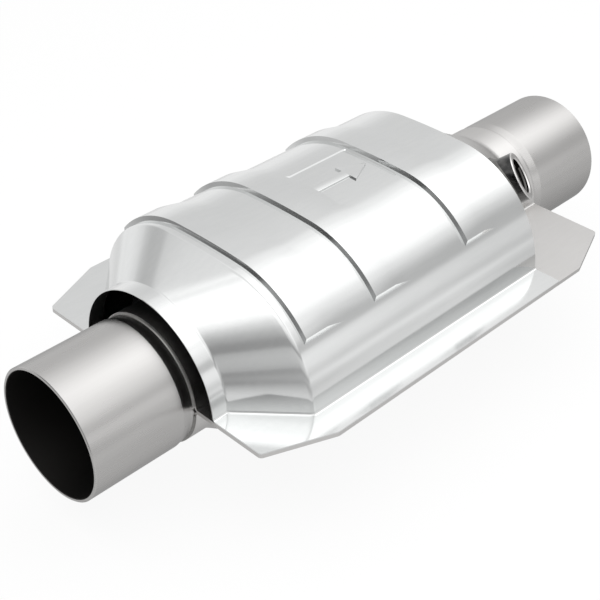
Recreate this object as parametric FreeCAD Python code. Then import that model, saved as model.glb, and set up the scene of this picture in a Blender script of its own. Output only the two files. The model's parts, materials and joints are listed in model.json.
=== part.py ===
import FreeCAD, Part
import math
import os

# Universal catalytic converter: a clamshell body welded from two stamped half shells, an oval
# ceramic honeycomb in two bricks inside it, a pipe welded into each neck, a stamped heat shield
# over the upper shell and a threaded bung for a sensor behind the shield.
#
# Millimetres. X runs along the exhaust, from inlet to outlet. While the pieces are modelled,
# z = 0 is the plane where the two half shells meet; export_all lifts them to stand on z = 0.

# Overall
overall_length = 330.2

# Inlet and outlet pipe
pipe_outer_d = 60.9
pipe_wall = 1.6
pipe_rim_chamfer = 0.3
neck_down_depth = 0.95          # how far the tube is drawn in before it enters the shell
neck_down_length = 4.2
neck_down_lead = 2.2            # straight stretch between the drawn-in cone and the shell
neck_down_blend_r = 1.6
pipe_insertion = 13.0           # how far the pipe reaches into the shell's neck
slip_clearance = 0.05

# Half shells
shell_sheet = 1.0
shell_half_width = 62.2
shell_half_height = 45.0
crown_r = 390.0                 # the nearly flat top and bottom of the oval
shell_body_length = 132.0
shell_neck_length = 14.0
shell_bend_r = 1.0              # hollow side of the bend between wall and flange
shell_crest_blend = 3.0         # length on each side over which a cone rounds into the body
shell_throat_blend = 3.2        # the same where it rounds into the neck
rib_height = 1.5                # a rib runs over the middle of each brick
rib_width = 16.0
rib_wall_run = 3.0
rib_end_height = 14.0           # the ribs stop this far above the split plane
groove_depth = 2.6              # pressed-in groove that keeps the two bricks apart
groove_width = 7.0
groove_wall_run = 2.0

# Flange outline, shared by both shells and the shield
flange_length = 227.8
flange_width = 161.6
flange_nose_width = 136.4
flange_corner_length = 31.6
flange_corner_r = 2.0

# Heat shield
shield_sheet = 0.5
shield_side_step = 4.5          # how far the shield stands outside the shell at its sides
shield_top_step = 5.4           # the same at the crown
shield_front_reach = 16.4       # the shield's crest lies this far ahead of the shell's
shield_rear_reach = 0.0         # its open end lies level with the start of the rear cone
collar_step = 10.45             # how far the collar stands outside the shell's neck
collar_length = 7.7
shield_bend_r = 1.2
shield_crest_blend = 1.1        # length on each side over which the crest is rounded
shield_crease_blend = 0.7

# Raised bands across the shield: a steep front wall, a flat top and a long run-out
band_1_setback = 4.2            # front wall of the first band, behind the shield's crest
band_2_setback = 45.4
band_3_lead = 43.1              # front wall of the third band, ahead of the open end
band_height = 2.1
band_top_width = 12.6
band_wall_run = 0.5
band_run_out = 10.5
band_end_height = 29.6          # the bands stop this far above the split plane
band_end_run = 2.9              # height over which a band's end wall fades into the side

# Sunk panel in the crown, between the second and the third band
panel_depth = 0.5
panel_setback = 16.0            # its front edge, behind the second band's front wall
panel_rear_gap = 1.2
panel_half_width = 16.4
panel_wall_run = 0.5            # how far its walls lean outwards
panel_corner_r = 0.9            # at its floor

# Honeycomb bricks and what holds them
brick_end_inset = 3.2           # how far the bricks stay inside the shell's straight body
groove_clearance = 0.3          # between the groove's inner wall and the seals beside it
mat_thickness = 4.2
mat_clearance = 0.15
seal_width = 6.0
brick_edge_chamfer = 0.8

# Sensor bung, on the rear cone of the upper shell
bung_cone_share = 0.64          # how far down the cone its axis meets the shell
bung_height = 7.16              # from the shell to the bung's face, on its axis
bung_clock_angle = 141.5        # about the pipe's axis, from +Y towards +Z
bung_tilt = 32.0                # leans back towards the outlet
bung_outer_d = 24.4
bung_pilot_d = 21.0
bung_pilot_reach = 5.0
bung_depth = 24.0
bung_hole_d = 18.0              # nominal size of its M18 x 1.5 thread
bung_hole_chamfer = 0.6
bung_edge_chamfer = 0.5
bung_weld_leg = 2.2
bung_weld_hollow = 0.36         # how far the bead's face lies from its root, 0.5 being flat
bung_weld_seat = 0.02

# Weld beads where the pipes enter the necks
neck_weld_leg = 0.9
neck_weld_gap_angle = 5.0       # each bead stops this far from the split plane

# Values that follow
half_length = overall_length / 2.0
half_flange = flange_length / 2.0
pipe_r = pipe_outer_d / 2.0
drawn_r = pipe_r - neck_down_depth
neck_r = drawn_r + slip_clearance + shell_sheet
shell_crest_x = shell_body_length / 2.0
shell_neck_x = half_flange - shell_neck_length
brick_gap = groove_width + 2.0 * (shell_sheet + groove_clearance)
brick_length = shell_crest_x - brick_end_inset - brick_gap / 2.0
rib_centre_x = (brick_gap + brick_length) / 2.0
stand_height = shell_half_height + rib_height
shield_half_width = shell_half_width + shield_side_step
shield_height = shell_half_height + shield_top_step
shield_front_x = -shell_crest_x - shield_front_reach
shield_rear_x = shell_crest_x + shield_rear_reach
collar_r = neck_r + collar_step
collar_x = -half_flange + collar_length
band_front_x = (shield_front_x + band_1_setback, shield_front_x + band_2_setback,
                shield_rear_x - band_3_lead)
panel_front_x = band_front_x[1] + panel_setback
shield_seat = shell_sheet
shield_top = shell_sheet + shield_sheet
overrun = 4.0                   # how far a cutter reaches past what it cuts
root = 0.8                      # how far a band reaches below the surface that it stands on
panel_reach = 0.15              # how far the panel's cutter reaches past its mouth and floor


def vec(x, y, z):
    return FreeCAD.Vector(x, y, z)


class Arch:
    """Half of an oval, standing on the split plane: two side arcs and a flat crown arc.
    Its flanks turn outwards into a flange with a small flare arc."""

    def __init__(self, side_y, side_r, crown_r, crown_angle, crown_z):
        self.side_y = side_y
        self.side_r = side_r
        self.crown_r = crown_r
        self.crown_angle = crown_angle
        self.crown_z = crown_z

    @classmethod
    def oval(cls, half_width, height, crown_r):
        drop = height - crown_r
        side_r = (crown_r ** 2 - half_width ** 2 - drop ** 2) / (2.0 * (crown_r - half_width))
        side_y = half_width - side_r
        return cls(side_y, side_r, crown_r, math.atan2(side_y, -drop), drop)

    @classmethod
    def round(cls, radius, crown_angle):
        return cls(0.0, radius, radius, crown_angle, 0.0)

    def grown(self, by):
        return Arch(self.side_y, self.side_r + by, self.crown_r + by, self.crown_angle, self.crown_z)

    def mixed(self, other, share):
        """The arch that a straight wall from this one to the other has at a share of the way."""
        def blend(here, there):
            return here + (there - here) * share
        return Arch(blend(self.side_y, other.side_y), blend(self.side_r, other.side_r),
                    blend(self.crown_r, other.crown_r), blend(self.crown_angle, other.crown_angle),
                    blend(self.crown_z, other.crown_z))

    def side_point(self, angle, radius=None):
        reach = self.side_r if radius is None else radius
        return self.side_y + reach * math.sin(angle), reach * math.cos(angle)

    def side_point_at(self, height, grow=0.0):
        """Point of the side arc, grown by some amount, at a height above the split plane."""
        return self.side_point(math.acos(height / (self.side_r + grow)), self.side_r + grow)

    def wire(self, x, floor_z, flare_r):
        """Closed outline at x: floor, flare, side, crown, side, flare."""
        reach = self.side_r + flare_r
        flare_z = floor_z + flare_r
        flare_y = self.side_y + math.sqrt(reach ** 2 - flare_z ** 2)
        foot_angle = math.acos(flare_z / reach)
        foot = self.side_point(foot_angle)
        flank = self.side_point((self.crown_angle + foot_angle) / 2.0)
        shoulder = self.side_point(self.crown_angle)
        half_turn = math.pi + foot_angle / 2.0
        flare_mid = (flare_y + flare_r * math.sin(half_turn), flare_z + flare_r * math.cos(half_turn))
        toe = (flare_y, floor_z)
        top = (0.0, self.crown_z + self.crown_r)

        def point(pair, side=1):
            return vec(x, side * pair[0], pair[1])

        edges = [
            Part.LineSegment(point(toe, -1), point(toe)).toShape(),
            Part.Arc(point(toe), point(flare_mid), point(foot)).toShape(),
            Part.Arc(point(foot), point(flank), point(shoulder)).toShape(),
            Part.Arc(point(shoulder), point(top), point(shoulder, -1)).toShape(),
            Part.Arc(point(shoulder, -1), point(flank, -1), point(foot, -1)).toShape(),
            Part.Arc(point(foot, -1), point(flare_mid, -1), point(toe, -1)).toShape(),
        ]
        return Part.Wire(edges)


shell_arch = Arch.oval(shell_half_width, shell_half_height, crown_r)
neck_arch = Arch.round(neck_r, shell_arch.crown_angle)
shield_arch = Arch.oval(shield_half_width, shield_height, crown_r)
collar_arch = Arch.round(collar_r, shield_arch.crown_angle)


def hull(stations, floor_z, flare_r, skin=0.0):
    """Solid through (x, arch) stations, straight from one to the next. A skin moves the whole
    surface inwards, flares and floor too, as the inside of a sheet of that thickness."""
    wires = [arch.grown(-skin).wire(x, floor_z - skin, flare_r + skin) for x, arch in stations]
    return Part.makeLoft(wires, True, True)


def softened(stations, index, reach, steps=4):
    """Replaces the crease at one station by a few that round it, over a reach to each side."""
    x, arch = stations[index]
    before_x, before = stations[index - 1]
    after_x, after = stations[index + 1]
    start = arch.mixed(before, reach / abs(x - before_x))
    end = arch.mixed(after, reach / abs(x - after_x))
    rounded = []
    for step in range(steps + 1):
        share = step / steps
        inner = start.mixed(arch, share).mixed(arch.mixed(end, share), share)
        rounded.append((x - reach + 2.0 * reach * share, inner))
    return stations[:index] + rounded + stations[index + 1:]


def wall_shift(skin, run, from_arch, to_arch):
    """How far the inside of a cone's sheet lies along X from its outside, on average."""
    width_drop = from_arch.side_y + from_arch.side_r - to_arch.side_y - to_arch.side_r
    height_drop = from_arch.crown_z + from_arch.crown_r - to_arch.crown_z - to_arch.crown_r
    return skin * math.tan(math.atan((width_drop + height_drop) / 2.0 / run) / 2.0)


def flange_plate(low_z, high_z, rear_x=None):
    """Octagonal plate with lightly rounded corners, cut off at rear_x if that is given."""
    long_x = half_flange - flange_corner_length
    long_y = flange_width / 2.0
    nose_y = flange_nose_width / 2.0
    corners = [(half_flange, nose_y), (long_x, long_y), (-long_x, long_y), (-half_flange, nose_y),
               (-half_flange, -nose_y), (-long_x, -long_y), (long_x, -long_y), (half_flange, -nose_y)]
    points = [vec(x, y, low_z) for x, y in corners]
    plate = Part.Face(Part.makePolygon(points + points[:1])).extrude(vec(0, 0, high_z - low_z))
    upright = [edge for edge in plate.Edges if edge.BoundBox.ZLength > (high_z - low_z) / 2.0]
    plate = plate.makeFillet(flange_corner_r, upright)
    if rear_x is None:
        return plate
    keep = Part.makeBox(rear_x + half_flange + overrun, flange_width + overrun, high_z - low_z + overrun,
                        vec(-half_flange - overrun, -(flange_width + overrun) / 2.0, low_z - overrun / 2.0))
    return plate.common(keep)


def above_prism(arch, end_height, end_run, grow, low_x, high_x):
    """Everything above two slanting planes that run along the shoulders. They cross the arch at
    end_height and the grown arch end_run higher, which gives a raised band its sloped ends."""
    low_y, low_z = arch.side_point_at(end_height)
    high_y, high_z = arch.side_point_at(end_height + end_run, grow)
    slope = (high_z - low_z) / (high_y - low_y)
    inner_y = low_y - 4.0 * overrun
    outer_y = high_y + 4.0 * overrun
    inner_z = low_z + slope * (inner_y - low_y)
    outer_z = high_z + slope * (outer_y - high_y)
    top_z = outer_z + arch.side_r * 2.0
    outline = [vec(low_x, -outer_y, outer_z), vec(low_x, -inner_y, inner_z), vec(low_x, inner_y, inner_z),
               vec(low_x, outer_y, outer_z), vec(low_x, outer_y, top_z), vec(low_x, -outer_y, top_z)]
    return Part.Face(Part.makePolygon(outline + outline[:1])).extrude(vec(high_x - low_x, 0, 0))


def raised_band(arch, profile, floor_z, flare_r, end_height, end_run, skin=0.0):
    """Band over the arch, with a sloped wall at each end. profile lists (x, rise)."""
    rise = max(height for _, height in profile)
    stations = [(x, arch.grown(height)) for x, height in profile]
    ring = hull(stations, floor_z, flare_r, skin)
    keep = above_prism(arch.grown(-skin), end_height, end_run, rise, profile[0][0], profile[-1][0])
    return ring.common(keep)


def shell_hull(skin=0.0, reach=0.0):
    """Outside of a half shell, or its inside for a skin: neck, cone, body, cone, neck."""
    shift = wall_shift(skin, shell_neck_x - shell_crest_x, shell_arch, neck_arch)
    crest_x = shell_crest_x - shift
    neck_x = shell_neck_x - shift
    end_x = half_flange + reach
    stations = [(-end_x, neck_arch), (-neck_x, neck_arch), (-crest_x, shell_arch),
                (crest_x, shell_arch), (neck_x, neck_arch), (end_x, neck_arch)]
    stations = softened(stations, 4, shell_throat_blend)
    stations = softened(stations, 3, shell_crest_blend)
    stations = softened(stations, 2, shell_crest_blend)
    stations = softened(stations, 1, shell_throat_blend)
    return hull(stations, shell_sheet, shell_bend_r, skin)


def shell_rib(centre_x, skin=0.0):
    half = rib_width / 2.0
    foot = half + root * rib_wall_run / rib_height
    profile = [(centre_x - foot, -root), (centre_x - half + rib_wall_run, rib_height),
               (centre_x + half - rib_wall_run, rib_height), (centre_x + foot, -root)]
    return raised_band(shell_arch, profile, shell_sheet, shell_bend_r, rib_end_height, rib_height, skin)


def shell_groove(skin=0.0):
    """What the pressed-in groove takes away from the hull, down to its floor."""
    half = groove_width / 2.0 + skin
    mouth = half + root * groove_wall_run / groove_depth
    flat = half - groove_wall_run
    above = shell_arch.grown(root)
    bottom = shell_arch.grown(-groove_depth)
    floor = hull([(-mouth, above), (-flat, bottom), (flat, bottom), (mouth, above)],
                 shell_sheet, shell_bend_r, skin)
    around = hull([(-mouth, above.grown(root)), (mouth, above.grown(root))],
                  shell_sheet, shell_bend_r, skin)
    keep = above_prism(bottom.grown(-skin), rib_end_height, groove_depth, groove_depth, -mouth, mouth)
    return around.common(keep).cut(floor)


def half_shell():
    """One stamped half: the same stamping serves as upper and, turned over, as lower shell."""
    outside = shell_hull()
    inside = shell_hull(shell_sheet, overrun)
    for x in (-rib_centre_x, rib_centre_x):
        outside = outside.fuse(shell_rib(x))
        inside = inside.fuse(shell_rib(x, shell_sheet))
    outside = outside.cut(shell_groove())
    inside = inside.cut(shell_groove(shell_sheet))
    sheet = flange_plate(0.0, shell_sheet).fuse(outside).cut(inside)
    return sheet.removeSplitter()


def rear_cone_arch(x):
    """Outline of the rear cone at x, or of the body or the neck on either side of it."""
    share = (x - shell_crest_x) / (shell_neck_x - shell_crest_x)
    return shell_arch.mixed(neck_arch, max(0.0, min(1.0, share)))


def height_over_cone(point):
    """How far a point stands outside the rear cone, across the exhaust's axis."""
    arch = rear_cone_arch(point.x)
    return math.hypot(abs(point.y) - arch.side_y, point.z) - arch.side_r


def bung_axis():
    clock = math.radians(bung_clock_angle)
    tilt = math.radians(bung_tilt)
    return vec(math.sin(tilt), math.cos(tilt) * math.cos(clock), math.cos(tilt) * math.sin(clock))


def bung_foot():
    """Where the bung's axis meets the shell."""
    x = shell_crest_x + bung_cone_share * (shell_neck_x - shell_crest_x)
    clock = math.radians(bung_clock_angle)
    outward = vec(0, math.cos(clock), math.sin(clock))
    return onto_cone(vec(x, 0, 0) + outward * drawn_r, outward)


def bung_face():
    return bung_foot() + bung_axis() * bung_height


def onto_cone(point, direction):
    """Slides a point along a direction until it lies on the rear cone."""
    low, high = -2.0 * shell_half_width, 2.0 * shell_half_width
    for _ in range(60):
        middle = (low + high) / 2.0
        if height_over_cone(point + direction * middle) < 0.0:
            low = middle
        else:
            high = middle
    return point + direction * high


def bung_rod(diameter, depth, lift=0.0):
    """Rod on the bung's axis, from lift above its face down to depth below it."""
    axis = bung_axis()
    return Part.makeCylinder(diameter / 2.0, depth + lift, bung_face() + axis * lift, axis * -1.0)


def sensor_bung():
    body = bung_rod(bung_outer_d, bung_depth)
    rim = [edge for edge in body.Edges if edge.CenterOfMass.distanceToPoint(bung_face()) < 1e-3]
    body = body.makeChamfer(bung_edge_chamfer, rim).cut(shell_hull())
    body = body.fuse(bung_rod(bung_pilot_d - 2.0 * slip_clearance, bung_height + bung_pilot_reach))
    mouth = Part.makeCone(bung_hole_d / 2.0 + bung_hole_chamfer, bung_hole_d / 2.0, bung_hole_chamfer,
                          bung_face(), bung_axis() * -1.0)
    return body.cut(bung_rod(bung_hole_d, bung_depth, overrun)).cut(mouth).removeSplitter()


def bung_weld(sections=24):
    """Hollow fillet bead round the bung, drawn through sections that stand on the shell."""
    axis = bung_axis()
    inner_r = bung_outer_d / 2.0 + bung_weld_seat
    across = axis.cross(vec(1, 0, 0)).normalize()
    along = axis.cross(across).normalize()
    profiles = []
    for step in range(sections):
        turn = 2.0 * math.pi * step / sections
        outward = across * math.cos(turn) + along * math.sin(turn)
        root_point = onto_cone(bung_foot() + outward * inner_r, axis)
        toe = onto_cone(bung_foot() + outward * (inner_r + bung_weld_leg), axis)
        crest = root_point + axis * bung_weld_leg
        hollow = root_point + ((toe - root_point) + (crest - root_point)) * bung_weld_hollow
        profiles.append(Part.makePolygon([root_point, toe, hollow, crest, root_point]))
    return Part.makeLoft(profiles, True, False, True)


def upper_shell():
    return half_shell().cut(bung_rod(bung_pilot_d, bung_depth, overrun)).removeSplitter()


def lower_shell():
    return half_shell().mirror(vec(0, 0, 0), vec(0, 0, 1))


def band_profile(front_x, skin=0.0):
    """Steep front wall, flat top, long run-out. The inside of the sheet starts a skin later."""
    start = front_x + skin
    end = front_x + band_top_width
    return [(start - root * band_wall_run / band_height, -root), (start + band_wall_run, band_height),
            (end, band_height), (end + band_run_out * (1.0 + root / band_height), -root)]


def shield_hull(skin=0.0, reach=0.0):
    shift = wall_shift(skin, shield_front_x - collar_x, shield_arch, collar_arch)
    stations = [(-half_flange - reach, collar_arch), (collar_x + shift, collar_arch),
                (shield_front_x + shift, shield_arch), (shield_rear_x + reach, shield_arch)]
    stations = softened(stations, 2, shield_crest_blend)
    stations = softened(stations, 1, shield_crease_blend)
    solid = hull(stations, shield_top, shield_bend_r, skin)
    for front_x in band_front_x:
        band = raised_band(shield_arch, band_profile(front_x, skin), shield_top, shield_bend_r,
                           band_end_height, band_end_run, skin)
        solid = solid.fuse(band)
    return solid.cut(sunk_panel(skin))


def rounded_rectangle(low_x, high_x, half_y, radius, z):
    """Closed outline at a height."""
    centres = [(high_x - radius, half_y - radius), (low_x + radius, half_y - radius),
               (low_x + radius, radius - half_y), (high_x - radius, radius - half_y)]
    corners = []
    for turn, (x, y) in enumerate(centres):
        angles = [math.pi / 2.0 * (turn + share) for share in (0.0, 0.5, 1.0)]
        corners.append([vec(x + radius * math.cos(a), y + radius * math.sin(a), z) for a in angles])
    edges = []
    for corner, following in zip(corners, corners[1:] + corners[:1]):
        edges.append(Part.Arc(*corner).toShape())
        edges.append(Part.LineSegment(corner[2], following[0]).toShape())
    return Part.Wire(edges)


def sunk_panel(skin=0.0):
    """What the sunk panel takes away from the crown: leaning walls, down to its floor."""
    low_x = panel_front_x
    high_x = band_front_x[2] - panel_rear_gap
    lean = panel_wall_run / panel_depth
    mouth_z = shield_arch.crown_z + math.sqrt(shield_arch.crown_r ** 2 - panel_half_width ** 2)
    outlines = []
    for z in (mouth_z - panel_depth - skin - panel_reach, shield_height + panel_reach):
        out = skin * math.hypot(1.0, lean) + lean * (z - mouth_z)
        radius = panel_corner_r + panel_wall_run + out
        outlines.append(rounded_rectangle(low_x - out, high_x + out, panel_half_width + out, radius, z))
    floor = hull([(low_x - overrun, shield_arch.grown(-panel_depth)),
                  (high_x + overrun, shield_arch.grown(-panel_depth))], shield_top, shield_bend_r, skin)
    return Part.makeLoft(outlines, True, True).cut(floor)


def heat_shield():
    plate = flange_plate(shield_seat, shield_top, shield_rear_x)
    sheet = plate.fuse(shield_hull()).cut(shield_hull(shield_sheet, overrun))
    return sheet.removeSplitter()


def blend_arc(corner, before, after, radius):
    """Start, middle and end of the arc that rounds a profile's corner."""
    back = (before - corner).normalize()
    ahead = (after - corner).normalize()
    half = math.acos(max(-1.0, min(1.0, back.dot(ahead)))) / 2.0
    trim = radius / math.tan(half)
    middle = (back + ahead).normalize()
    centre = corner + middle * (radius / math.sin(half))
    return corner + back * trim, centre - middle * radius, corner + ahead * trim


def neck_line(radius, blend_in, blend_out, low_x, high_x):
    """Edges of one side of the tube's wall: straight, drawn in, straight again."""
    cone_end = -half_flange - neck_down_lead
    cone_start = cone_end - neck_down_length
    points = [vec(low_x, 0, radius), vec(cone_start, 0, radius),
              vec(cone_end, 0, radius - neck_down_depth), vec(high_x, 0, radius - neck_down_depth)]
    first = blend_arc(points[1], points[0], points[2], blend_in)
    second = blend_arc(points[2], points[1], points[3], blend_out)
    return [Part.LineSegment(points[0], first[0]).toShape(), Part.Arc(*first).toShape(),
            Part.LineSegment(first[2], second[0]).toShape(), Part.Arc(*second).toShape(),
            Part.LineSegment(second[2], points[3]).toShape()]


def inlet_pipe():
    low_x = -half_length
    high_x = -half_flange + pipe_insertion
    bore_r = pipe_r - pipe_wall
    outside = neck_line(pipe_r, neck_down_blend_r, neck_down_blend_r + pipe_wall,
                        low_x + pipe_rim_chamfer, high_x)
    inside = neck_line(bore_r, neck_down_blend_r + pipe_wall, neck_down_blend_r,
                       low_x + pipe_rim_chamfer, high_x)
    rim = [vec(low_x + pipe_rim_chamfer, 0, pipe_r), vec(low_x, 0, pipe_r - pipe_rim_chamfer),
           vec(low_x, 0, bore_r + pipe_rim_chamfer), vec(low_x + pipe_rim_chamfer, 0, bore_r)]
    end = [vec(high_x, 0, pipe_r - neck_down_depth), vec(high_x, 0, bore_r - neck_down_depth)]
    edges = outside + inside + [Part.makePolygon(rim), Part.makePolygon(end)]
    flat = [edge for item in edges for edge in (item.Edges if hasattr(item, "Edges") else [item])]
    wire = Part.Wire(Part.__sortEdges__(flat))
    return Part.Face(wire).revolve(vec(0, 0, 0), vec(1, 0, 0), 360)


def outlet_pipe():
    return inlet_pipe().mirror(vec(0, 0, 0), vec(1, 0, 0))


def neck_weld_upper():
    """Hollow fillet bead in the corner between the neck's rim and the inlet pipe."""
    root = vec(-half_flange, 0, drawn_r)
    toe_rim = vec(-half_flange, 0, drawn_r + neck_weld_leg)
    toe_pipe = vec(-half_flange - neck_weld_leg, 0, drawn_r)
    hollow = root + (toe_rim + toe_pipe - root * 2.0) * 0.38
    profile = Part.Wire([Part.LineSegment(root, toe_rim).toShape(), Part.Arc(toe_rim, hollow, toe_pipe).toShape(),
                         Part.LineSegment(toe_pipe, root).toShape()])
    face = Part.Face(profile)
    face.rotate(vec(0, 0, 0), vec(1, 0, 0), -90.0 + neck_weld_gap_angle)
    return face.revolve(vec(0, 0, 0), vec(1, 0, 0), 180.0 - 2.0 * neck_weld_gap_angle)


def oval_prism(low_x, high_x, skin):
    """Full oval bar, the shell's outside shrunk by skin, from low_x to high_x."""
    arch = shell_arch.grown(-skin)
    edges = []
    for side in (1, -1):
        start = vec(low_x, side * arch.side_point(arch.crown_angle)[0], side * arch.side_point(arch.crown_angle)[1])
        flank = vec(low_x, side * (arch.side_y + arch.side_r), 0)
        foot = vec(low_x, start.y, -start.z)
        edges.append(Part.Arc(start, flank, foot).toShape())
        other = vec(low_x, -start.y, start.z)
        top = vec(low_x, 0, side * (arch.crown_z + arch.crown_r))
        edges.append(Part.Arc(start, top, other).toShape())
    wire = Part.Wire(Part.__sortEdges__(edges))
    return Part.Face(wire).extrude(vec(high_x - low_x, 0, 0))


def oval_sleeve(low_x, high_x):
    """Sleeve between a brick and the shell."""
    outer = oval_prism(low_x, high_x, shell_sheet + mat_clearance)
    inner = oval_prism(low_x - overrun, high_x + overrun, shell_sheet + mat_thickness)
    return outer.cut(inner)


def brick(low_x):
    solid = oval_prism(low_x, low_x + brick_length, shell_sheet + mat_thickness + mat_clearance)
    rims = [edge for edge in solid.Edges if edge.BoundBox.XLength < 1e-4]
    return solid.makeChamfer(brick_edge_chamfer, rims)


def mat(low_x):
    return oval_sleeve(low_x + seal_width + mat_clearance, low_x + brick_length - seal_width - mat_clearance)


def mat_seal(low_x):
    return oval_sleeve(low_x, low_x + seal_width)


def pieces():
    front_x = -brick_gap / 2.0 - brick_length
    rear_x = brick_gap / 2.0
    split = (vec(0, 0, 0), vec(0, 0, 1))
    middle = (vec(0, 0, 0), vec(1, 0, 0))
    inlet_weld = neck_weld_upper()
    outlet_weld = inlet_weld.mirror(*middle)
    return {
        "inlet_pipe": inlet_pipe(),
        "outlet_pipe": outlet_pipe(),
        "upper_shell": upper_shell(),
        "lower_shell": lower_shell(),
        "heat_shield": heat_shield(),
        "sensor_bung": sensor_bung(),
        "bung_weld": bung_weld(),
        "inlet_weld_upper": inlet_weld,
        "inlet_weld_lower": inlet_weld.mirror(*split),
        "outlet_weld_upper": outlet_weld,
        "outlet_weld_lower": outlet_weld.mirror(*split),
        "front_brick": brick(front_x),
        "rear_brick": brick(rear_x),
        "front_mat": mat(front_x),
        "rear_mat": mat(rear_x),
        "front_brick_inlet_seal": mat_seal(front_x),
        "front_brick_outlet_seal": mat_seal(front_x + brick_length - seal_width),
        "rear_brick_inlet_seal": mat_seal(rear_x),
        "rear_brick_outlet_seal": mat_seal(rear_x + brick_length - seal_width),
    }


def export_all():
    """Writes each piece, lifted so that the lower shell stands on z = 0."""
    os.makedirs("parts", exist_ok=True)
    for name, shape in pieces().items():
        shape.translate(vec(0, 0, stand_height))
        shape.exportStep("parts/" + name + ".step")
        solids = len(shape.Solids)
        print(name, "solids", solids, "volume", round(shape.Volume, 1), "valid", shape.isValid())


export_all()
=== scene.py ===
import bpy
import json
import math
from mathutils import Matrix, Vector

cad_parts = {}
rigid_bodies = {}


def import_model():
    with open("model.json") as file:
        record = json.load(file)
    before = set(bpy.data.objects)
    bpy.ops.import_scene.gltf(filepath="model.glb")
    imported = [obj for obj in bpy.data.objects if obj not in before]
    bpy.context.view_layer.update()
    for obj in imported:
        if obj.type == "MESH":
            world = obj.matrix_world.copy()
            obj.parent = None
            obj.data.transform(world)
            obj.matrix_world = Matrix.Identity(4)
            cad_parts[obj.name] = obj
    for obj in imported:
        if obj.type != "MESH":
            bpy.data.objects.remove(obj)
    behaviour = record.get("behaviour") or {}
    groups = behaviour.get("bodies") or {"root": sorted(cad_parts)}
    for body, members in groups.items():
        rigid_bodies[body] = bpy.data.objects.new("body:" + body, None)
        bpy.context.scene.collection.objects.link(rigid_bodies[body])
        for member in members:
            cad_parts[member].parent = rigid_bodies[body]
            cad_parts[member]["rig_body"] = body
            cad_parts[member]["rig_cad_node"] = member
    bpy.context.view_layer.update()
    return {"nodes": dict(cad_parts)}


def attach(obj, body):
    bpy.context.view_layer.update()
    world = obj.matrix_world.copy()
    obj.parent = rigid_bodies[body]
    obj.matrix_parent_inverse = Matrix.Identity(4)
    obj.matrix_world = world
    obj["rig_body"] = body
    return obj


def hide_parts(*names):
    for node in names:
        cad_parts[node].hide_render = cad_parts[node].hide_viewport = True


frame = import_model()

nodes = frame["nodes"]
axisHeight = 0.0465                      # the exhaust's axis above the ground
mergeReach = 0.000002                    # points closer than this are one
bungAxis = (0.52992, -0.66369, 0.52792)
print("frame loaded:", len(nodes), "nodes")


# working by hand

def deselectAll():
    if bpy.context.object and bpy.context.object.mode != "OBJECT":
        bpy.ops.object.mode_set(mode="OBJECT")
    bpy.ops.object.select_all(action="DESELECT")


def pick(obj):
    deselectAll()
    obj.select_set(True)
    bpy.context.view_layer.objects.active = obj


def applyPlace(obj):
    pick(obj)
    bpy.ops.object.transform_apply(location=True, rotation=True, scale=True)


def applyModifiers(obj):
    pick(obj)
    for modifier in list(obj.modifiers):
        bpy.ops.object.modifier_apply(modifier=modifier.name)


def selectFaces(obj, test):
    # object mode in, face mode out
    pick(obj)
    bpy.ops.object.mode_set(mode="EDIT")
    bpy.ops.mesh.select_mode(type="FACE")
    bpy.ops.mesh.select_all(action="DESELECT")
    bpy.ops.object.mode_set(mode="OBJECT")
    for face in obj.data.polygons:
        face.select = test(face)
    bpy.ops.object.mode_set(mode="EDIT")


def ownMesh(obj, name):
    obj.name = name
    obj.data.name = name
    return obj


# shader maths

class Wire:
    # one output socket that can be used in an expression

    def __init__(self, graph, socket):
        self.graph = graph
        self.socket = socket

    def maths(self, operation, first, second):
        return self.graph.add("ShaderNodeMath", {"operation": operation}, {0: first, 1: second})

    def __add__(self, other):
        return self.maths("ADD", self, other)

    def __radd__(self, other):
        return self.maths("ADD", other, self)

    def __sub__(self, other):
        return self.maths("SUBTRACT", self, other)

    def __rsub__(self, other):
        return self.maths("SUBTRACT", other, self)

    def __mul__(self, other):
        return self.maths("MULTIPLY", self, other)

    def __rmul__(self, other):
        return self.maths("MULTIPLY", other, self)

    def __truediv__(self, other):
        return self.maths("DIVIDE", self, other)

    def __gt__(self, other):
        return self.maths("GREATER_THAN", self, other)


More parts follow.
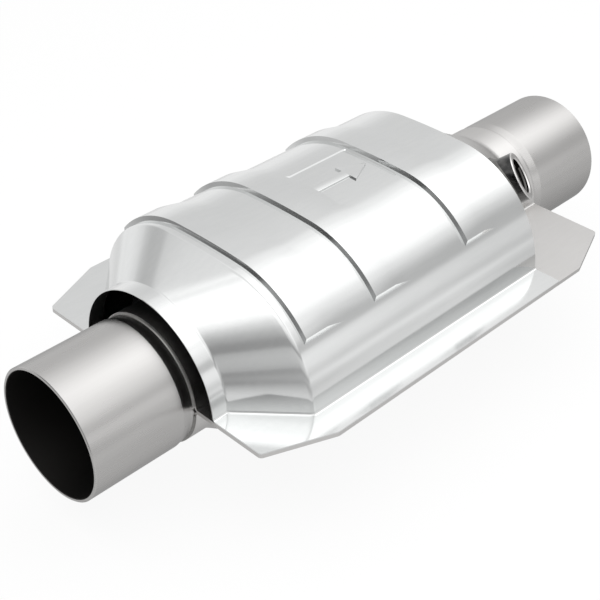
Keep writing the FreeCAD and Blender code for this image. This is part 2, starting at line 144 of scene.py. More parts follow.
class Graph:
    # the node tree of one material or of the world

    def __init__(self, tree):
        self.tree = tree
        tree.nodes.clear()

    def add(self, kind, settings=None, sockets=None, out=0):
        # a ramp's stops and interpolation are set on the ramp, all other settings on the node
        node = self.tree.nodes.new(kind)
        for key, value in (settings or {}).items():
            if key == "stops":
                self.setStops(node.color_ramp, value)
            elif key == "interpolation":
                node.color_ramp.interpolation = value
            else:
                setattr(node, key, value)
        for key, value in (sockets or {}).items():
            if isinstance(value, Wire):
                self.tree.links.new(value.socket, node.inputs[key])
            else:
                node.inputs[key].default_value = value
        return Wire(self, node.outputs[out]) if node.outputs else node

    def setStops(self, ramp, stops):
        while len(ramp.elements) < len(stops):
            ramp.elements.new(0.5)
        for element, (place, colour) in zip(ramp.elements, stops):
            element.position = place
            element.color = colour

    def objectPoint(self):
        return self.add("ShaderNodeTexCoord", out=3)

    def objectNormal(self):
        return self.add("ShaderNodeTexCoord", out=1)

    def stretched(self, point, scale):
        return self.add("ShaderNodeMapping", sockets={"Vector": point, "Scale": scale})

    def noise(self, point, scale, detail=2.0, roughness=0.5):
        settings = {"noise_dimensions": "3D"}
        values = {"Vector": point, "Scale": scale, "Detail": detail, "Roughness": roughness}
        return self.add("ShaderNodeTexNoise", settings, values)

    def between(self, value, low, high, toLow, toHigh, curve="LINEAR"):
        values = {0: value, 1: low, 2: high, 3: toLow, 4: toHigh}
        return self.add("ShaderNodeMapRange", {"clamp": True, "interpolation_type": curve}, values)

    def mixColours(self, share, first, second):
        return self.add("ShaderNodeMix", {"data_type": "RGBA"}, {0: share, 6: first, 7: second}, out=2)

    def bump(self, height, strength, distance, normal=None):
        values = {"Height": height, "Strength": strength, "Distance": distance}
        if normal is not None:
            values["Normal"] = normal
        return self.add("ShaderNodeBump", sockets=values)

    def parts(self, vector):
        split = self.add("ShaderNodeSeparateXYZ", sockets={0: vector})
        return [Wire(self, split.socket.node.outputs[place]) for place in range(3)]

    def surface(self, shader):
        self.add("ShaderNodeOutputMaterial", sockets={"Surface": shader})


def newMaterial(name):
    material = bpy.data.materials.new(name)
    material.use_nodes = True
    return material, Graph(material.node_tree)


# finishes

# what all the steels share: details and roughness of the noises, and how they are mixed
# (a noise lies around 0.5)
steelMix = {
    "lineNoise": (3.0, 0.6), "cloudNoise": (3.0, 0.55), "grainNoise": (2.0, 0.5), "waveDetail": 1.0,
    "sheen": (0.6, 0.4), "sheenRange": (0.3, 0.7), "relief": (0.7, 0.3),
    "inward": (-0.004, 0.0),             # towards the axis, in metres
    "sideCloud": (0.42, 0.62), "sideLean": (0.3, 0.6),
}


def facesAxis(graph, point):
    # 1 where a surface looks in at the exhaust's axis, 0 where it looks out: the mask of the painted shade
    # under the shield and inside the shells and tubes
    across, upward = graph.parts(point)[1:]
    leanAcross, leanUpward = graph.parts(graph.objectNormal())[1:]
    outward = across * leanAcross + (upward - axisHeight) * leanUpward
    return graph.between(outward, *steelMix["inward"], 1.0, 0.0)


def blend(first, second, shares):
    return shares[0] * first + shares[1] * second


def sheetSteel(name, spec):
    # rolled sheet or tube: long faint rolling lines, cloudy sheen and a slightly uneven surface
    material, graph = newMaterial(name)
    point = graph.objectPoint()
    stretched = graph.stretched(point, spec["lineStretch"])
    lines = graph.noise(stretched, spec["lineScale"], *steelMix["lineNoise"])
    cloud = graph.noise(point, spec["cloudScale"], *steelMix["cloudNoise"])
    grain = graph.noise(point, spec["grainScale"], *steelMix["grainNoise"])
    sheen = graph.between(blend(lines, cloud, steelMix["sheen"]), *steelMix["sheenRange"], 0.0, 1.0)
    colour = graph.mixColours(sheen, spec["darker"], spec["lighter"])
    rough = spec["roughness"] + spec["roughSpread"] * (lines - 0.5) + spec["roughCloud"] * (cloud - 0.5)
    # painted shade: faces that look in at the axis are painted dark for the shade under the shield, inside
    # the shells and in the bores; their rougher finish is real
    if "inside" in spec:
        hidden = facesAxis(graph, point)
        colour = graph.mixColours(hidden, colour, spec["inside"])
        rough = rough + hidden * (spec["insideRoughness"] - rough)
    if "faceAxis" in spec:
        # painted reflection: the faces across this axis are bright, the sides are painted darker and cloudy
        # for the dark cavity that they mirror
        ends = {0: graph.objectNormal(), 1: spec["faceAxis"]}
        lean = graph.add("ShaderNodeVectorMath", {"operation": "DOT_PRODUCT"}, ends, out=1)
        sideCloud = graph.between(cloud, *steelMix["sideCloud"], 0.0, 1.0)
        sideMirrored = graph.mixColours(sideCloud, spec["sideMirroredDark"], spec["sideMirroredLight"])
        colour = graph.mixColours(graph.between(lean, *steelMix["sideLean"], 0.0, 1.0), sideMirrored, colour)
    waves = graph.noise(point, spec["waveScale"], steelMix["waveDetail"])
    waves = graph.bump(waves, 1.0, spec["waveHeight"])
    normal = graph.bump(blend(lines, grain, steelMix["relief"]), 1.0, spec["lineHeight"], waves)
    shader = graph.add("ShaderNodeBsdfPrincipled", sockets={
        "Base Color": colour, "Metallic": 1.0, "Roughness": rough, "Normal": normal,
        "Specular Tint": (*[spec.get("edgeTint", 1.0)] * 3, 1.0),
    })
    graph.surface(shader)
    return material


# edgeTint darkens a surface that is seen at a grazing angle
turnedRelief = {
    "lineStretch": (1.0, 1.0, 1.0), "lineScale": 500.0, "lineHeight": 0.000002, "grainScale": 1500.0,
    "waveScale": 30.0, "waveHeight": 0.00002, "roughSpread": 0.06, "roughCloud": 0.04,
}
weldRelief = {
    "lineStretch": (1.0, 1.0, 1.0), "lineScale": 420.0, "lineHeight": 0.00003, "grainScale": 1200.0,
    "waveScale": 200.0, "waveHeight": 0.00006, "roughness": 0.36, "roughSpread": 0.12, "roughCloud": 0.06,
}
steelSpecs = {
    "polishedShield": {
        "darker": (0.775, 0.785, 0.783, 1.0), "lighter": (0.815, 0.822, 0.82, 1.0),
        # painted shade: the shield's underside is painted nearly black for the shade beneath it
        "inside": (0.07, 0.07, 0.07, 1.0), "insideRoughness": 0.5,
        "roughness": 0.115, "roughSpread": 0.04, "roughCloud": 0.04,
        "lineStretch": (1.0, 7.0, 7.0), "lineScale": 70.0, "lineHeight": 0.0000015,
        "cloudScale": 28.0, "grainScale": 1500.0,
        "waveScale": 16.0, "waveHeight": 0.00009,
    },
    "satinShell": {
        "darker": (0.705, 0.694, 0.683, 1.0), "lighter": (0.735, 0.725, 0.715, 1.0),
        # painted shade: the shell's inside is painted dark for the shade under the shield and in the collar
        "inside": (0.20, 0.195, 0.19, 1.0), "insideRoughness": 0.5,
        "roughness": 0.33, "roughSpread": 0.04, "roughCloud": 0.05, "edgeTint": 0.65,
        "lineStretch": (1.0, 7.0, 7.0), "lineScale": 80.0, "lineHeight": 0.000001,
        "cloudScale": 30.0, "grainScale": 1500.0,
        "waveScale": 14.0, "waveHeight": 0.00003,
    },
    "satinTube": {
        "darker": (0.588, 0.579, 0.570, 1.0), "lighter": (0.612, 0.604, 0.595, 1.0),
        # painted shade: the bore is painted nearly black for the shade inside the tube
        "inside": (0.05, 0.048, 0.046, 1.0), "insideRoughness": 0.55,
        "roughness": 0.28, "roughSpread": 0.03, "roughCloud": 0.05, "edgeTint": 0.62,
        "lineStretch": (1.0, 16.0, 16.0), "lineScale": 55.0, "lineHeight": 0.0000005,
        "cloudScale": 26.0, "grainScale": 1500.0,
        "waveScale": 14.0, "waveHeight": 0.00002,
    },
    "turnedBung": {
        **turnedRelief, "roughness": 0.22, "cloudScale": 190.0, "faceAxis": bungAxis,
        "darker": (0.68, 0.67, 0.66, 1.0), "lighter": (0.76, 0.75, 0.74, 1.0),
        # painted reflection: the sides are painted dark for the dark cavity that they mirror
        "sideMirroredDark": (0.075, 0.075, 0.075, 1.0), "sideMirroredLight": (0.16, 0.158, 0.155, 1.0),
    },
    # painted shade: the thread deep in the bore is painted dark for the shade in the hole
    "shadedThread": {
        **turnedRelief, "roughness": 0.34, "cloudScale": 60.0,
        "darker": (0.10, 0.10, 0.095, 1.0), "lighter": (0.16, 0.155, 0.15, 1.0),
    },
    "darkWeld": {
        **weldRelief, "cloudScale": 220.0,
        "darker": (0.11, 0.11, 0.105, 1.0), "lighter": (0.24, 0.235, 0.225, 1.0),
    },
    "weldMetal": {
        **weldRelief, "cloudScale": 120.0,
        "darker": (0.20, 0.197, 0.19, 1.0), "lighter": (0.31, 0.305, 0.295, 1.0),
    },
}


def honeycombCeramic(spec):
    # square channels, open towards the pipes: cells painted dark for the shade deep in the channels,
    # between thin pale walls
    material, graph = newMaterial("honeycombCeramic")
    point = graph.objectPoint()
    across, upward = graph.parts(point)[1:]

    def cell(value):
        turn = graph.add("ShaderNodeMath", {"operation": "FRACT"}, {0: value * (1.0 / spec["pitch"])})
        fold = graph.add("ShaderNodeMath", {"operation": "ABSOLUTE"}, {0: turn - 0.5})
        return graph.between(fold, 0.5 - spec["wall"], 0.5 - spec["wall"] * spec["wallCore"], 1.0, 0.0)

    hole = cell(across) * cell(upward)
    facing = graph.add("ShaderNodeNewGeometry", out=1)
    turned = graph.add("ShaderNodeSeparateXYZ", sockets={0: facing})
    endFace = graph.add("ShaderNodeMath", {"operation": "ABSOLUTE"}, {0: turned}) > spec["endLean"]
    shadedHollow = hole * endFace
    speckle = graph.noise(point, spec["speckleScale"], 2.0)
    clay = graph.mixColours(speckle, spec["clayDark"], spec["clayLight"])
    shader = graph.add("ShaderNodeBsdfPrincipled", sockets={
        "Base Color": graph.mixColours(shadedHollow, clay, spec["cellShade"]),
        "Roughness": graph.between(speckle, *spec["roughness"]),
        "Normal": graph.bump(1.0 - shadedHollow, *spec["relief"]),
    })
    graph.surface(shader)
    return material


honeycombSpec = {
    "pitch": 0.00127, "wall": 0.16, "wallCore": 0.6,       # 400 channels to the square inch
    "endLean": 0.9, "speckleScale": 900.0, "roughness": (0.3, 0.7, 0.78, 0.92), "relief": (0.6, 0.0004),
    "clayDark": (0.50, 0.44, 0.36, 1.0), "clayLight": (0.64, 0.58, 0.49, 1.0),
    # painted shade of the deep channels
    "cellShade": (0.035, 0.03, 0.026, 1.0),
}


def fibreMat(spec):
    # pressed mineral fibre with flakes of mica
    material, graph = newMaterial("fibreMat")
    point = graph.objectPoint()
    stretched = graph.stretched(point, spec["fibreStretch"])
    fibre = graph.noise(stretched, spec["fibreScale"], *spec["fibreNoise"])
    flakes = graph.add("ShaderNodeTexVoronoi", sockets={"Vector": point, "Scale": spec["flakeScale"]})
    flake = graph.between(flakes, *spec["flakeReach"], 1.0, 0.0)
    base = graph.mixColours(fibre, spec["shade"], spec["light"])
    shader = graph.add("ShaderNodeBsdfPrincipled", sockets={
        "Base Color": graph.mixColours(flake, base, spec["mica"]),
        "Roughness": spec["roughness"] - spec["flakeGloss"] * flake,
        "Normal": graph.bump(fibre, *spec["relief"]),
    })
    graph.surface(shader)
    return material


matSpec = {
    "fibreStretch": (1.0, 3.0, 3.0), "fibreScale": 700.0, "fibreNoise": (4.0, 0.65),
    "flakeScale": 420.0, "flakeReach": (0.10, 0.16),
    "roughness": 0.95, "flakeGloss": 0.5, "relief": (0.8, 0.0003),
    "shade": (0.52, 0.50, 0.44, 1.0), "light": (0.78, 0.76, 0.70, 1.0), "mica": (0.42, 0.32, 0.16, 1.0),
}


def knittedWire(spec):
    # rows of small loops in thin wire, with the gaps between them painted dark for the shade there
    material, graph = newMaterial("knittedWire")
    point = graph.objectPoint()
    values = {"Vector": point, "Scale": spec["rowScale"], "Distortion": spec["rowWaver"], "Detail": 1.0}
    rows = graph.add("ShaderNodeTexWave", {"wave_type": "BANDS", "bands_direction": "X"}, values, out=1)
    loops = graph.noise(point, spec["loopScale"])
    strand = graph.between(blend(rows, loops, (0.5, 0.5)), *spec["strandRange"], 0.0, 1.0)
    shader = graph.add("ShaderNodeBsdfPrincipled", sockets={
        "Base Color": graph.mixColours(strand, spec["gapShade"], spec["wire"]),
        "Metallic": 1.0,
        "Roughness": spec["roughness"] - spec["wireGloss"] * strand,
        "Normal": graph.bump(strand, *spec["relief"]),
    })
    graph.surface(shader)
    return material


wireSpec = {
    "rowScale": 330.0, "rowWaver": 3.0, "loopScale": 1200.0, "strandRange": (0.35, 0.6),
    "roughness": 0.6, "wireGloss": 0.25, "relief": (0.9, 0.0003),
    # painted shade in the gaps between the loops
    "gapShade": (0.10, 0.095, 0.09, 1.0), "wire": (0.55, 0.54, 0.52, 1.0),
}

finishes = {name: sheetSteel(name, spec) for name, spec in steelSpecs.items()}
finishes["honeycombCeramic"] = honeycombCeramic(honeycombSpec)
finishes["fibreMat"] = fibreMat(matSpec)
finishes["knittedWire"] = knittedWire(wireSpec)
print("finishes made:", len(finishes))


def paint(obj, finish):
    obj.data.materials.clear()
    obj.data.materials.append(finishes[finish])


# stampings and tubes: the CAD's own shape, with smooth shading

dressed = {
    "shieldStamping": {"node": "heat_shield", "finish": "polishedShield", "slot": "shield_steel",
                       "sharp": 22.0, "outline": "shield"},
    "upperStamping": {"node": "upper_shell", "finish": "satinShell", "slot": "shell_steel",
                      "sharp": 22.0, "outline": "shell"},
    "lowerStamping": {"node": "lower_shell", "finish": "satinShell", "slot": "shell_steel",
                      "sharp": 22.0, "outline": "shell"},
    "inletTube": {"node": "inlet_pipe", "finish": "satinTube", "slot": "pipe_steel", "sharp": 30.0},
    "outletTube": {"node": "outlet_pipe", "finish": "satinTube", "slot": "pipe_steel", "sharp": 30.0},
    "bungRing": {"node": "sensor_bung", "finish": "turnedBung", "slot": "bung_steel", "sharp": 30.0},
    "bungBead": {"node": "bung_weld", "finish": "darkWeld", "slot": "weld", "sharp": 50.0},
}

# the stampings' outlines along the exhaust: x, then centre and radius of the side arc and of the crown arc
outlines = {
    "shield": [(-0.1062, 0.0, 0.041, 0.0, 0.041), (-0.0824, 0.01671, 0.04999, -0.3396, 0.390)],
    "shell": [(-0.0999, 0.0, 0.03055, 0.0, 0.03055), (-0.066, 0.01765, 0.04455, -0.345, 0.390),
              (0.066, 0.01765, 0.04455, -0.345, 0.390), (0.0999, 0.0, 0.03055, 0.0, 0.03055)],
    "flareTop": 0.0034,                  # the flange and its bend stay as they are
    "creaseReach": 0.0012, "level": 0.05,
    "near": 0.94, "nearSteep": 0.5,      # how closely a face has to look along the arc's radius
    # leans along the exhaust: the bands' run-outs are softened, their walls made even
    "gentle": 0.32, "gentleShare": 0.25,
    "steep": (0.80, 0.995), "steepLean": 0.9728,
}


def outlineAt(stations, x):
    # the outline's values at x, how fast they change there and how far the next crease is
    crease = min(abs(x - station[0]) for station in stations)
    for start, end in zip(stations, stations[1:]):
        if start[0] < x < end[0]:
            run = end[0] - start[0]
            slopes = [(there - here) / run for here, there in zip(start[1:], end[1:])]
            return [here + slope * (x - start[0]) for here, slope in zip(start[1:], slopes)], slopes, crease
    nearest = min(stations, key=lambda station: abs(x - station[0]))
    return list(nearest[1:]), [0.0] * 4, crease


def arcNormal(stations, place, present):
    # the normal that the stamping's arcs have at a place, or None away from them
    values, slopes, crease = outlineAt(stations, place.x)
    upright = 1.0 if place.z > axisHeight else -1.0
    height = abs(place.z - axisHeight)
    if height < outlines["flareTop"]:
        return None
    sideward = 1.0 if place.y > 0.0 else -1.0
    across = abs(place.y) - values[0]
    radial = Vector((0.0, across * sideward, height * upright))
    slope = slopes[1] + slopes[0] * across / radial.length
    if values[2] < 0.0 and abs(place.y) / (height - values[2]) < values[0] / -values[2]:
        radial = Vector((0.0, place.y, (height - values[2]) * upright))
        slope = slopes[3] + slopes[2] * (height - values[2]) / radial.length
    radial.normalize()
    turned = Vector((0.0, present.y, present.z))
    if turned.length < outlines["level"]:
        return None
    facing = turned.normalized().dot(radial)
    near = outlines["nearSteep"] if abs(present.x) > outlines["steep"][0] else outlines["near"]
    if abs(facing) < near:
        return None
    outward = 1.0 if facing > 0.0 else -1.0
    if slope and crease > outlines["creaseReach"]:
        return (radial - Vector((slope, 0.0, 0.0))).normalized() * outward
    lean = present.x
    if abs(lean) < outlines["gentle"] and not slope:
        lean *= outlines["gentleShare"]
    elif outlines["steep"][0] < abs(lean) < outlines["steep"][1]:
        lean = math.copysign(outlines["steepLean"], lean)
    return Vector((lean, 0.0, 0.0)) + radial * outward * math.sqrt(1.0 - lean ** 2)


def leadNormals(obj, stations):
    # long triangles bend a mirrored picture, so the arcs' own normals take the place of the averaged ones
    mesh = obj.data
    present = [Vector(corner.vector) for corner in mesh.corner_normals]
    normals = []
    for loop, normal in zip(mesh.loops, present):
        found = arcNormal(stations, mesh.vertices[loop.vertex_index].co, normal)
        normals.append(normal if found is None else found)
    mesh.normals_split_custom_set(normals)


def smoothCopy(name, spec):
    source = nodes[spec["node"]]
    pick(source)
    bpy.ops.object.duplicate()
    obj = ownMesh(bpy.context.object, name)
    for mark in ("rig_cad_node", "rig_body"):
        if mark in obj:
            del obj[mark]
    if obj.data.has_custom_normals:
        bpy.ops.mesh.customdata_custom_splitnormals_clear()
    bpy.ops.object.mode_set(mode="EDIT")
    bpy.ops.mesh.select_all(action="SELECT")
    bpy.ops.mesh.remove_doubles(threshold=mergeReach)
    bpy.ops.object.mode_set(mode="OBJECT")
    bpy.ops.object.shade_smooth_by_angle(angle=math.radians(spec["sharp"]))
    if "outline" in spec:
        weighted = obj.modifiers.new("broad faces lead", "WEIGHTED_NORMAL")
        weighted.mode = "FACE_AREA"
        weighted.weight = 100
        weighted.keep_sharp = True
        applyModifiers(obj)
        leadNormals(obj, outlines[spec["outline"]])
    paint(obj, spec["finish"])
    paint(source, spec["finish"])
    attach(obj, "root")
    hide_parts(spec["node"])
    return obj


pieces = {name: smoothCopy(name, spec) for name, spec in dressed.items()}
print("stampings and tubes smoothed:", len(pieces))


# hidden pieces keep their CAD shape

plainFinishes = {
    "inlet_weld_upper": "weldMetal", "inlet_weld_lower": "weldMetal",
    "outlet_weld_upper": "weldMetal", "outlet_weld_lower": "weldMetal",
    "front_brick": "honeycombCeramic", "rear_brick": "honeycombCeramic",
    "front_mat": "fibreMat", "rear_mat": "fibreMat",
    "front_brick_inlet_seal": "knittedWire", "front_brick_outlet_seal": "knittedWire",
    "rear_brick_inlet_seal": "knittedWire", "rear_brick_outlet_seal": "knittedWire",
}
for nodeName, finish in plainFinishes.items():
    paint(nodes[nodeName], finish)
print("hidden pieces painted:", len(plainFinishes))


# flow arrow, embossed in the shield's panel

arrow = {
    "centre": (0.001, 0.0),
    "floor": axisHeight + 0.0499,        # the panel's floor
    "sunk": 0.0003, "rise": 0.0007,
    "shaftLength": 0.021, "shaftWidth": 0.0050,
    "headLength": 0.0130, "headWidth": 0.0135, "tipWidth": 0.0006,
    "edge": 0.0002, "edgeSegments": 3, "sharp": 35.0,
}


def makeArrow(spec):
    deselectAll()
    height = spec["sunk"] + spec["rise"]
    length = spec["shaftLength"] + spec["headLength"]
    middleX = spec["centre"][0] - length / 2.0 + spec["shaftLength"] / 2.0
    middleZ = spec["floor"] + (spec["rise"] - spec["sunk"]) / 2.0
    bpy.ops.mesh.primitive_cube_add(
        size=1.0,
        location=(middleX, spec["centre"][1], middleZ),
        scale=(spec["shaftLength"], spec["shaftWidth"], height),
    )
    obj = ownMesh(bpy.context.object, "flowArrow")
    applyPlace(obj)
    selectFaces(obj, lambda face: face.normal.x > 0.9)
    bpy.ops.mesh.extrude_region_move(TRANSFORM_OT_translate={"value": (0.0, 0.0, 0.0)})
    bpy.ops.transform.resize(value=(1.0, spec["headWidth"] / spec["shaftWidth"], 1.0))
    bpy.ops.mesh.extrude_region_move(TRANSFORM_OT_translate={"value": (spec["headLength"], 0.0, 0.0)})
    bpy.ops.transform.resize(value=(1.0, spec["tipWidth"] / spec["headWidth"], 1.0))
    bpy.ops.mesh.select_all(action="SELECT")
    bpy.ops.mesh.normals_make_consistent(inside=False)
    bpy.ops.object.mode_set(mode="OBJECT")
    bevel = obj.modifiers.new("edges", "BEVEL")
    bevel.width = spec["edge"]
    bevel.segments = spec["edgeSegments"]
    bevel.limit_method = "ANGLE"
    applyModifiers(obj)
    bpy.ops.object.shade_smooth_by_angle(angle=math.radians(spec["sharp"]))
    paint(obj, "polishedShield")
    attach(obj, "root")
    return obj


pieces["flowArrow"] = makeArrow(arrow)
print("flow arrow embossed")


# thread inside the bung

thread = {
    "face": (0.09149, -0.036324, axisHeight + 0.028893),
    "rootRadius": 0.00898, "crestRadius": 0.0082,
    "pitch": 0.0015, "flank": 0.42,      # half a groove's width, as a share of the pitch
    "turns": 6, "steps": 40, "sharp": 40.0,
    "start": 0.0010,                     # below the face
}


def makeThread(spec):
    # a triangle screwed upwards, then both ends closed
    deselectAll()
    bpy.ops.mesh.primitive_circle_add(vertices=3, radius=spec["pitch"], fill_type="NOTHING",
                                      location=(0.0, 0.0, 0.0))
    obj = ownMesh(bpy.context.object, "bungThread")
    corners = ((spec["rootRadius"], spec["flank"]), (spec["crestRadius"], 0.0),
               (spec["rootRadius"], -spec["flank"]))
    for vertex, (radius, share) in zip(obj.data.vertices, corners):
        vertex.co = (radius, 0.0, share * spec["pitch"])
    screw = obj.modifiers.new("turns", "SCREW")
    screw.axis = "Z"
    screw.steps = spec["steps"]
    screw.render_steps = spec["steps"]
    screw.angle = math.radians(360.0)
    screw.screw_offset = spec["pitch"]
    screw.iterations = spec["turns"]
    screw.use_merge_vertices = True
    applyModifiers(obj)
    bpy.ops.object.mode_set(mode="EDIT")
    bpy.ops.mesh.select_all(action="SELECT")
    bpy.ops.mesh.remove_doubles(threshold=mergeReach)
    bpy.ops.mesh.select_all(action="DESELECT")
    bpy.ops.mesh.select_mode(type="EDGE")
    bpy.ops.mesh.select_non_manifold(extend=False, use_wire=False, use_boundary=True,
                                     use_multi_face=False, use_non_contiguous=False, use_verts=False)
    bpy.ops.mesh.edge_face_add()
    bpy.ops.mesh.select_all(action="SELECT")
    bpy.ops.mesh.normals_make_consistent(inside=False)
    bpy.ops.object.mode_set(mode="OBJECT")
    axis = Vector(bungAxis).normalized()
    deepest = spec["start"] + spec["pitch"] * (spec["turns"] + 0.5)
    obj.rotation_mode = "QUATERNION"
    obj.rotation_quaternion = axis.to_track_quat("Z", "Y")
    obj.location = Vector(spec["face"]) - axis * deepest
    applyPlace(obj)
    bpy.ops.object.shade_smooth_by_angle(angle=math.radians(spec["sharp"]))
    paint(obj, "shadedThread")
    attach(obj, "root")
    return obj


pieces["bungThread"] = makeThread(thread)
print("bung threaded")


# studio

plainWhite = (1.0, 1.0, 1.0, 1.0)
studio = {
    "floorSize": 6.0, "floorColour": (0.95, 0.95, 0.95, 1.0),
    "seenGlow": 0.91,                    # share of plain white in what the camera sees of the floor
    "ambient": 0.40,
    # brightness of the floor in the metal, by distance in metres
    "floorReach": 1.5, "alongShare": 0.55,
    "floorRings": [(0.0, 0.60), (0.09, 0.67), (0.18, 0.80), (0.25, 0.77),
                   (0.43, 0.93), (0.75, 0.78), (1.5, 0.74)],
    # it is lighter far behind the part, has a dark card on the left and is dimmer on the right
    "behindTurn": (0.45, 0.85), "behindReach": (0.30, 0.75), "behindLevel": 0.93,
    "cardReach": (0.17, 0.30), "floorCard": 1.3, "darkest": 0.9,
    "dimTurn": (36.0, 48.0, 85.0, 110.0), "dimShare": 0.16,
    # brightness of the walls in the metal, by elevation in degrees:
    # ahead of the part, beside its outlet, behind it
    "nearBands": [(0.0, 0.84), (4.0, 0.96), (9.0, 1.02), (14.5, 0.98), (17.5, 0.61), (21.0, 0.63),
                  (28.0, 0.95), (39.0, 1.12), (50.0, 1.0), (80.0, 0.85)],
    "frontBands": [(0.0, 0.66), (4.0, 0.72), (12.0, 0.74), (16.0, 0.54), (24.0, 0.54), (29.0, 0.64),
                   (36.0, 0.70), (50.0, 0.80), (80.0, 0.85)],
    "backBands": [(0.0, 0.93), (9.0, 0.86), (18.0, 0.77), (26.0, 0.75),
                  (36.0, 0.77), (50.0, 0.82), (80.0, 0.85)],
    "nearTurn": (-80.0, -50.0, 30.0, 50.0), "frontTurn": (-110.0, -75.0, 60.0, 100.0),
    # a darker strip straight behind the part: how far to each side, and from which elevation to which
    "stripTurn": (-0.36, -0.14, 0.14, 0.36), "stripRise": (6.0, 26.0, 36.0, 50.0),
    "stripShare": 0.25, "stripBehind": 0.1,
    # what is left of the floor's and of the walls' light, by azimuth in degrees from the front:
    # a dark card lies on the left, a grey one stands there
    "cardShares": [(-180.0, 1.0), (-160.0, 1.0), (-145.0, 0.62), (-128.0, 0.38), (-113.0, 0.12),
                   (-76.0, 0.10), (-62.0, 0.52), (-46.0, 0.66), (0.0, 0.8), (25.0, 1.0)],
    "wallShares": [(-180.0, 1.0), (-158.0, 1.0), (-138.0, 0.68), (-112.0, 0.46),
                   (-80.0, 0.44), (-62.0, 0.52), (-46.0, 0.66), (0.0, 0.8), (25.0, 1.0)],
    # a small black card on that side, which the bands' walls mirror
    "blackTurn": (-144.0, -127.0, -110.0, -105.0), "blackRise": (6.0, 11.0, 38.0, 46.0),
    "blackShare": 0.72,
    # the ceiling's two boxes in the metal, on a plane one unit above the part
    "boxLength": (-1.9, 1.8), "boxReach": (-1.9, 1.3), "boxGlow": 1.75, "boxLowest": 0.05,
    "boxAlong": [(-1.9, 0.0), (-0.5, 1.0), (-0.20, 1.0), (-0.02, 0.30),
                 (0.28, 0.30), (0.46, 1.0), (0.95, 1.0), (1.8, 0.0)],
    "boxAcross": [(-1.9, 0.0), (-1.35, 0.10), (-0.90, 0.32), (-0.65, 0.52), (-0.40, 0.80), (-0.10, 1.0),
                  (0.20, 0.72), (0.40, 0.42), (0.60, 0.27), (0.97, 0.05), (1.3, 0.0)],
}
ceilingLamp = {"place": (0.08, -0.06, 0.70), "size": (1.46, 1.24), "glow": 1.45}


def rampOf(graph, value, low, high, points):
    stops = [((place - low) / (high - low), (level, level, level, 1.0)) for place, level in points]
    share = graph.between(value, low, high, 0.0, 1.0)
    return graph.add("ShaderNodeValToRGB", {"interpolation": "EASE", "stops": stops}, {0: share})


def turnOf(graph, point):
    # azimuth in degrees: 0 in front of the part, 90 past its outlet
    along, across = graph.parts(point)[:2]
    return along.maths("ARCTAN2", along, across * -1.0) * math.degrees(1.0)


def cardShare(graph, turn, shares):
    # what the cards leave of the light, all the way round
    return rampOf(graph, turn, -180.0, 180.0, shares)


def softBox(graph, value, edges):
    # 1 between the inner two edges, 0 outside the outer two
    rising = graph.between(value, edges[0], edges[1], 0.0, 1.0, "SMOOTHSTEP")
    return rising * graph.between(value, edges[2], edges[3], 1.0, 0.0, "SMOOTHSTEP")


def mirrorRay(graph):
    # camera rays, then the rays that metal and glass send out
    path = graph.add("ShaderNodeLightPath").socket.node
    glossy = Wire(graph, path.outputs["Is Glossy Ray"])
    through = Wire(graph, path.outputs["Is Transmission Ray"])
    return Wire(graph, path.outputs["Is Camera Ray"]), glossy + through


def makeFloor(spec):
    deselectAll()
    bpy.ops.mesh.primitive_plane_add(size=spec["floorSize"], location=(0.0, 0.0, 0.0))
    floor = ownMesh(bpy.context.object, "studioFloor")
    material, graph = newMaterial("paleFloor")
    point = graph.objectPoint()
    seen, mirrored = mirrorRay(graph)
    squeezed = graph.stretched(point, (spec["alongShare"], 1.0, 1.0))
    reach = graph.add("ShaderNodeVectorMath", {"operation": "LENGTH"}, {0: squeezed}, out=1)
    card = (1.0 - cardShare(graph, turnOf(graph, point), spec["cardShares"])) * spec["floorCard"]
    card = graph.between(card, 0.0, spec["darkest"], 0.0, spec["darkest"])
    shade = graph.between(reach, *spec["cardReach"], 0.0, 1.0) * card
    dim = softBox(graph, turnOf(graph, point), spec["dimTurn"]) * spec["dimShare"]
    rings = rampOf(graph, reach, 0.0, spec["floorReach"], spec["floorRings"]) * (1.0 - shade) * (1.0 - dim)
    behind = graph.between(graph.parts(point)[1] / reach, *spec["behindTurn"], 0.0, 1.0)
    behind = behind * graph.between(reach, *spec["behindReach"], 0.0, 1.0)
    rings = rings + behind * (spec["behindLevel"] - rings)
    matt = graph.add("ShaderNodeBsdfDiffuse", sockets={"Color": spec["floorColour"]})
    white = graph.add("ShaderNodeEmission", sockets={"Color": plainWhite, "Strength": 1.0})
    grey = graph.add("ShaderNodeEmission", sockets={"Color": rings, "Strength": 1.0})
    forCamera = graph.add("ShaderNodeMixShader", sockets={0: seen * spec["seenGlow"], 1: matt, 2: white})
    graph.surface(graph.add("ShaderNodeMixShader", sockets={0: mirrored, 1: forCamera, 2: grey}))
    floor.data.materials.append(material)


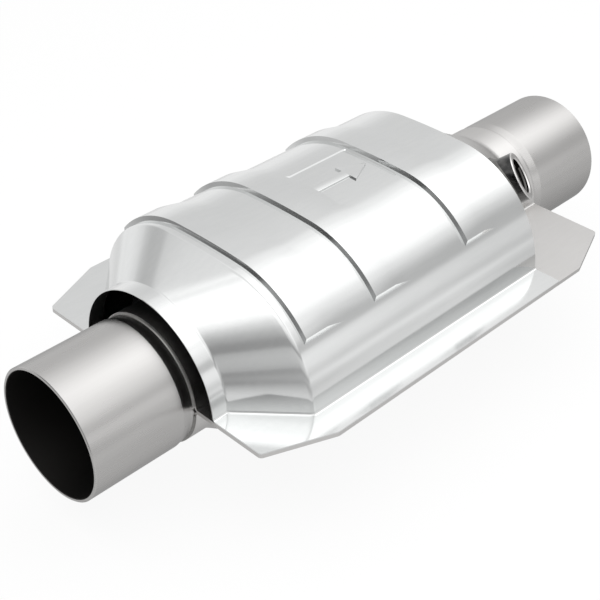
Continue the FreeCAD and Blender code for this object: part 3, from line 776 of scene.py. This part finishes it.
def makeWalls(spec):
    world = bpy.data.worlds.new("paleStudio")
    bpy.context.scene.world = world
    world.use_nodes = True
    graph = Graph(world.node_tree)
    point = graph.add("ShaderNodeTexCoord", out=0)
    seen, mirrored = mirrorRay(graph)
    along, across, height = graph.parts(point)
    rise = height.maths("ARCSINE", height, 0.0) * math.degrees(1.0)
    turn = turnOf(graph, point)
    near = rampOf(graph, rise, 0.0, 90.0, spec["nearBands"])
    front = rampOf(graph, rise, 0.0, 90.0, spec["frontBands"])
    back = rampOf(graph, rise, 0.0, 90.0, spec["backBands"])
    front = front + softBox(graph, turn, spec["nearTurn"]) * (near - front)
    walls = back + softBox(graph, turn, spec["frontTurn"]) * (front - back)
    walls = walls * cardShare(graph, turn, spec["wallShares"])
    strip = softBox(graph, along / across, spec["stripTurn"]) * (across > spec["stripBehind"])
    strip = strip * softBox(graph, rise, spec["stripRise"])
    black = softBox(graph, turn, spec["blackTurn"]) * softBox(graph, rise, spec["blackRise"])
    walls = walls * (1.0 - strip * spec["stripShare"]) * (1.0 - black * spec["blackShare"])
    level = graph.between(height, spec["boxLowest"], 1.0, spec["boxLowest"], 1.0)
    overhead = rampOf(graph, along / level, *spec["boxLength"], spec["boxAlong"])
    overhead = overhead * rampOf(graph, across / level, *spec["boxReach"], spec["boxAcross"])
    walls = walls + overhead * (spec["boxGlow"] - walls)

    def glow(colour, strength):
        return graph.add("ShaderNodeBackground", sockets={"Color": colour, "Strength": strength})

    soft = glow(plainWhite, spec["ambient"])
    grey = glow(walls, 1.0)
    white = glow(plainWhite, 1.0)
    lit = graph.add("ShaderNodeMixShader", sockets={0: mirrored, 1: soft, 2: grey})
    shown = graph.add("ShaderNodeMixShader", sockets={0: seen, 1: lit, 2: white})
    graph.add("ShaderNodeOutputWorld", sockets={"Surface": shown})


def makeLamp(spec):
    # the metal sees the soft box of the world instead, which has soft edges
    lamp = bpy.data.lights.new("ceilingBox", "AREA")
    lamp.shape = "RECTANGLE"
    lamp.size, lamp.size_y = spec["size"]
    lamp.energy = spec["glow"] * math.pi * spec["size"][0] * spec["size"][1]
    obj = bpy.data.objects.new("ceilingBox", lamp)
    bpy.context.scene.collection.objects.link(obj)
    obj.location = spec["place"]
    obj.visible_glossy = False


makeFloor(studio)
makeWalls(studio)
makeLamp(ceilingLamp)
print("studio lit")


# camera

view = {
    "place": (-0.36347, -0.33773, 0.34250 + axisHeight),
    "azimuth": -45.175, "elevation": 35.995, "roll": 0.308,
    "lens": 76.61, "sensor": 36.0, "clip": (0.01, 20.0),
}


def makeCamera(spec):
    data = bpy.data.cameras.new("photoView")
    data.lens = spec["lens"]
    data.sensor_width = spec["sensor"]
    data.clip_start, data.clip_end = spec["clip"]
    camera = bpy.data.objects.new("photoView", data)
    bpy.context.scene.collection.objects.link(camera)
    turn = math.radians(spec["azimuth"])
    rise = math.radians(spec["elevation"])
    roll = math.radians(spec["roll"])
    back = Vector((math.sin(turn) * math.cos(rise), -math.cos(turn) * math.cos(rise), math.sin(rise)))
    level = Vector((0.0, 0.0, 1.0)).cross(back).normalized()
    upright = back.cross(level)
    right = level * math.cos(roll) + upright * math.sin(roll)
    top = upright * math.cos(roll) - level * math.sin(roll)
    pose = Matrix((right, top, back)).transposed().to_4x4()
    pose.translation = Vector(spec["place"])
    camera.matrix_world = pose
    bpy.context.scene.camera = camera


makeCamera(view)
bpy.context.scene.view_settings.view_transform = "Standard"
